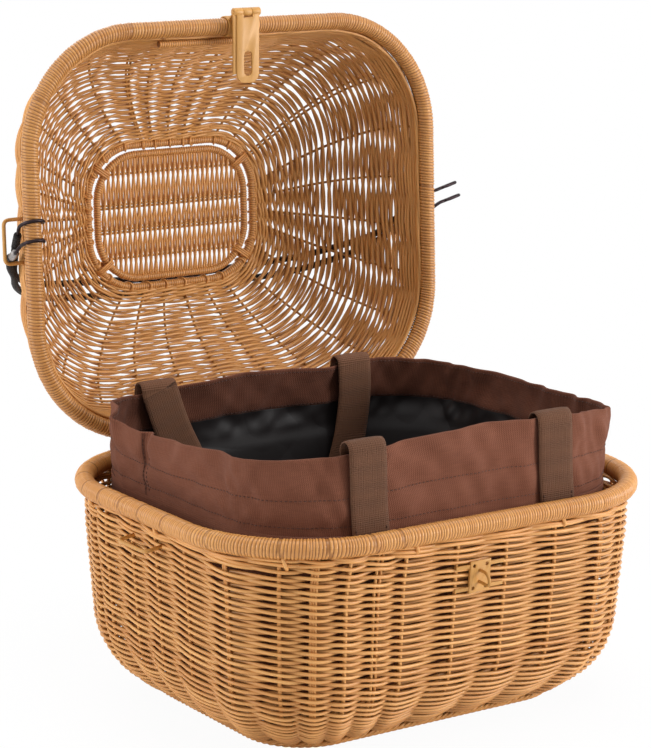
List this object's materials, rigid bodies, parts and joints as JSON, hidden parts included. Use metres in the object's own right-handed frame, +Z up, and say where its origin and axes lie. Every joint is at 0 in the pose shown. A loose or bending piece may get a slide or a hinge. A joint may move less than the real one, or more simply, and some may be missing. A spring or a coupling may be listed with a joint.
{
  "type": "scooter luggage basket",
  "caption": "Woven cane luggage basket for a scooter rack: a rounded tub with an open domed lid, hasp and staple, an elastic strap round the lid and a canvas bag inside.",
  "frame": {"origin": "middle of the flat underside that sits on the rack", "axes": "+X to the right seen from the front, -Y towards the front where the hasp closes, +Z up"},
  "size_m": [0.4421, 0.4648, 0.5403],
  "materials": {
    "cane_outside": "natural cane, satin, woven or wrapped",
    "cane_inside": "the same cane in shade, slightly darker",
    "tan_metal": "steel strip and wire in tan paint",
    "dark_steel": "dark bent wire",
    "black_elastic": "black elastic cord and plain black sleeves",
    "canvas": "brown canvas, matt",
    "lining": "black lining cloth with a slight sheen",
    "webbing": "brown cotton webbing"
  },
  "bodies": {
    "tub": {"base_rim": "cane_outside", "base_wall": "cane_outside", "bottom_border": "cane_outside", "hinge_strap_left": "tan_metal", "hinge_strap_right": "tan_metal", "lock_plate": "tan_metal", "lock_staple": "tan_metal", "base_loop_left": "tan_metal", "base_loop_right": "tan_metal", "bag_canvas": "canvas", "bag_collar": "canvas", "bag_lining": "lining", "front_handle": "webbing", "rear_handle": "webbing"},
    "lid": {"lid_rim": "cane_outside", "lid_wall": "cane_outside", "crown_ring": "cane_inside", "panel_ring": "cane_inside", "panel_weave": "cane_inside", "panel_tie_1": "cane_inside", "panel_tie_2": "cane_inside", "panel_tie_3": "cane_inside", "panel_tie_4": "cane_inside", "lid_front_rod": "cane_inside", "hasp_leaf": "tan_metal", "hasp_pin": "tan_metal", "lid_loop_left": "tan_metal", "lid_loop_right": "tan_metal", "strap_hook_left_front": "dark_steel", "strap_sleeve_left_front": "black_elastic", "strap_hook_left_rear": "dark_steel", "strap_sleeve_left_rear": "black_elastic", "strap_hook_right_front": "dark_steel", "strap_sleeve_right_front": "black_elastic", "strap_hook_right_rear": "dark_steel", "strap_sleeve_right_rear": "black_elastic", "elastic_cord_front": "black_elastic", "elastic_cord_rear": "black_elastic"},
    "hasp": {"hasp_strap": "tan_metal"}
  },
  "joints": [
    {"name": "lid_hinge", "type": "hinge", "parent": "tub", "child": "lid", "pos_m": [0, 0.166, 0.194], "axis": [1, 0, 0], "range_deg": [0, 92.8], "deforming": ["bag_collar", "front_handle", "rear_handle"]},
    {"name": "hasp_swing", "type": "hinge", "parent": "lid", "child": "hasp", "pos_m": [0.0025, 0.16835, 0.53682], "axis": [1, 0, 0], "range_deg": [-92.8, 0]}
  ],
  "couplings": [
    {"joint": "hasp_swing", "follows": "lid_hinge", "ratio": -1}
  ]
}
